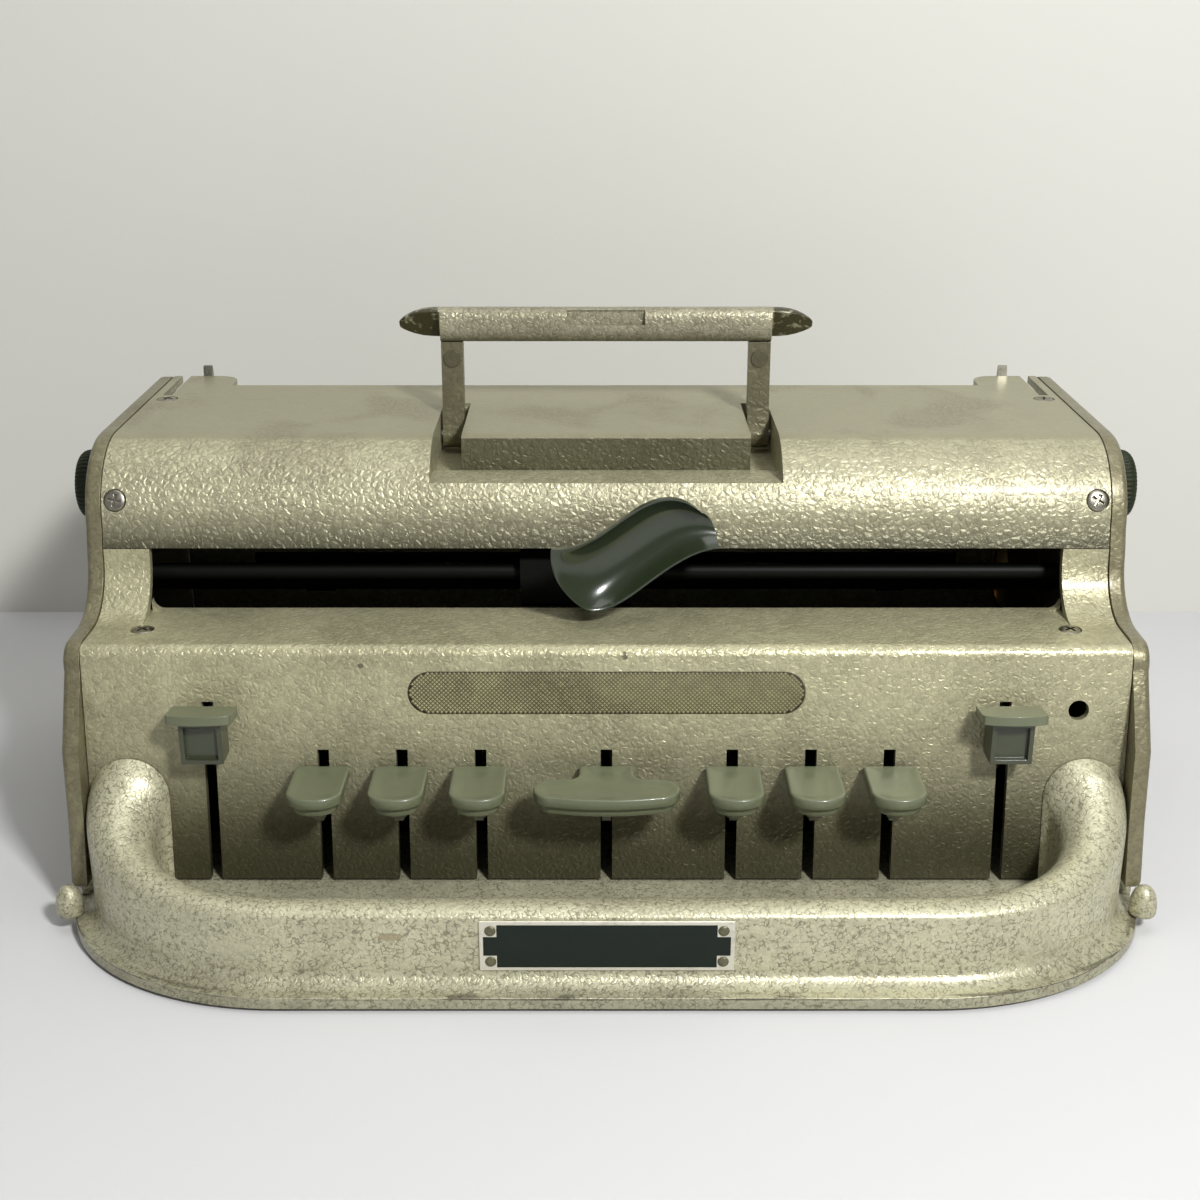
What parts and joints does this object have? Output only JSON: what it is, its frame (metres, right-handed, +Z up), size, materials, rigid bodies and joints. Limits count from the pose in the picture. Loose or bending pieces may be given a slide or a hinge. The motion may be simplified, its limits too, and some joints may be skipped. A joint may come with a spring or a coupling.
{
  "type": "manual braille writer",
  "caption": "Manual braille writer: cast case with guard rail, space, dot and raised keys, carriage with thumb lever, paper roller with feed knobs and a fold-down handle.",
  "frame": {"origin": "on the table under the middle of the case's box", "axes": "+X to the operator's right, along the carriage; +Y to the back; +Z up"},
  "size_m": [0.394, 0.2339, 0.1916],
  "materials": {
    "paint": "hammered metallic enamel, champagne olive",
    "handle_metal": "worn metallic enamel",
    "key_plastic": "semi-gloss grey-green",
    "lever_plastic": "glossy dark grey-green",
    "knob_plastic": "ribbed, near black",
    "plate_enamel": "dark enamel with a bare metal border",
    "zinc": "zinc plated",
    "steel": "oiled steel",
    "dark_metal": "black enamel",
    "brass": "plain",
    "rubber": "black",
    "roller_rubber": "ground rubber"
  },
  "bodies": {
    "frame": {"base_casting": "paint", "left_end_plate": "paint", "right_end_plate": "paint", "front_panel": "paint", "top_cover": "paint", "rear_panel": "paint", "paper_guide": "steel", "front_plate": "plate_enamel", "plate_pins": "steel", "rubber_feet": "rubber", "cover_screws": "zinc", "panel_screws": "zinc", "key_pivot_shaft": "steel", "key_comb": "steel", "key_stop_bar": "steel", "return_springs": "steel", "front_rail": "steel", "rear_rail": "steel", "escapement_rack": "steel", "roller_bushes": "brass", "margin_rail": "steel", "bell": "brass", "spring_barrel": "brass", "hinge_pins": "steel"},
    "handle": {"handle_grip": "paint", "handle_legs": "handle_metal", "handle_rivets": "handle_metal"},
    "space_key": {"space_cap": "key_plastic", "space_lever": "steel"},
    "line_key": {"line_cap": "key_plastic", "line_lever": "steel"},
    "backspace_key": {"backspace_cap": "key_plastic", "backspace_lever": "steel"},
    "carriage": {"carriage_block": "dark_metal", "styli": "brass", "lever_stem": "dark_metal", "carriage_lever": "lever_plastic"},
    "roller": {"paper_roller": "roller_rubber", "roller_shaft": "steel", "left_knob": "knob_plastic", "right_knob": "knob_plastic", "ratchet_wheel": "steel"},
    "paper_release": {"release_shaft": "steel", "release_levers": "zinc", "pressure_rollers": "roller_rubber"},
    "left_stop": {"left_margin_stop": "dark_metal"},
    "right_stop": {"right_margin_stop": "dark_metal"},
    "key_1": {"key_1_cap": "key_plastic", "key_1_lever": "steel"},
    "key_2": {"key_2_cap": "key_plastic", "key_2_lever": "steel"},
    "key_3": {"key_3_cap": "key_plastic", "key_3_lever": "steel"},
    "key_4": {"key_4_cap": "key_plastic", "key_4_lever": "steel"},
    "key_5": {"key_5_cap": "key_plastic", "key_5_lever": "steel"},
    "key_6": {"key_6_cap": "key_plastic", "key_6_lever": "steel"}
  },
  "joints": [
    {"name": "handle_fold", "type": "hinge", "parent": "frame", "child": "handle", "pos_m": [0, 0.053, 0.1433], "axis": [1, 0, 0], "range_deg": [0, 84]},
    {"name": "carriage_slide", "type": "slide", "parent": "frame", "child": "carriage", "axis": [1, 0, 0], "range_m": [-0.13, 0.13]},
    {"name": "roller_turn", "type": "hinge", "parent": "frame", "child": "roller", "pos_m": [0, 0.038, 0.128], "axis": [1, 0, 0], "continuous": true},
    {"name": "paper_release_swing", "type": "hinge", "parent": "frame", "child": "paper_release", "pos_m": [0, 0.104, 0.126], "axis": [1, 0, 0], "range_deg": [-12, 0]},
    {"name": "left_stop_slide", "type": "slide", "parent": "frame", "child": "left_stop", "axis": [1, 0, 0], "range_m": [0, 0.1]},
    {"name": "right_stop_slide", "type": "slide", "parent": "frame", "child": "right_stop", "axis": [1, 0, 0], "range_m": [-0.1, 0]},
    {"name": "space_key_press", "type": "hinge", "parent": "frame", "child": "space_key", "pos_m": [0, 0.068, 0.03], "axis": [1, 0, 0], "range_deg": [0, 4.5], "stiffness_Nm_per_rad": 2, "springref_deg": -6.88},
    {"name": "key_1_press", "type": "hinge", "parent": "frame", "child": "key_1", "pos_m": [0, 0.068, 0.03], "axis": [1, 0, 0], "range_deg": [0, 4.5], "stiffness_Nm_per_rad": 2, "springref_deg": -6.88},
    {"name": "key_2_press", "type": "hinge", "parent": "frame", "child": "key_2", "pos_m": [0, 0.068, 0.03], "axis": [1, 0, 0], "range_deg": [0, 4.5], "stiffness_Nm_per_rad": 2, "springref_deg": -6.88},
    {"name": "key_3_press", "type": "hinge", "parent": "frame", "child": "key_3", "pos_m": [0, 0.068, 0.03], "axis": [1, 0, 0], "range_deg": [0, 4.5], "stiffness_Nm_per_rad": 2, "springref_deg": -6.88},
    {"name": "key_4_press", "type": "hinge", "parent": "frame", "child": "key_4", "pos_m": [0, 0.068, 0.03], "axis": [1, 0, 0], "range_deg": [0, 4.5], "stiffness_Nm_per_rad": 2, "springref_deg": -6.88},
    {"name": "key_5_press", "type": "hinge", "parent": "frame", "child": "key_5", "pos_m": [0, 0.068, 0.03], "axis": [1, 0, 0], "range_deg": [0, 4.5], "stiffness_Nm_per_rad": 2, "springref_deg": -6.88},
    {"name": "key_6_press", "type": "hinge", "parent": "frame", "child": "key_6", "pos_m": [0, 0.068, 0.03], "axis": [1, 0, 0], "range_deg": [0, 4.5], "stiffness_Nm_per_rad": 2, "springref_deg": -6.88},
    {"name": "line_key_press", "type": "hinge", "parent": "frame", "child": "line_key", "pos_m": [0, 0.068, 0.03], "axis": [1, 0, 0], "range_deg": [0, 4.5], "stiffness_Nm_per_rad": 2, "springref_deg": -6.88},
    {"name": "backspace_key_press", "type": "hinge", "parent": "frame", "child": "backspace_key", "pos_m": [0, 0.068, 0.03], "axis": [1, 0, 0], "range_deg": [0, 4.5], "stiffness_Nm_per_rad": 2, "springref_deg": -6.88}
  ]
}
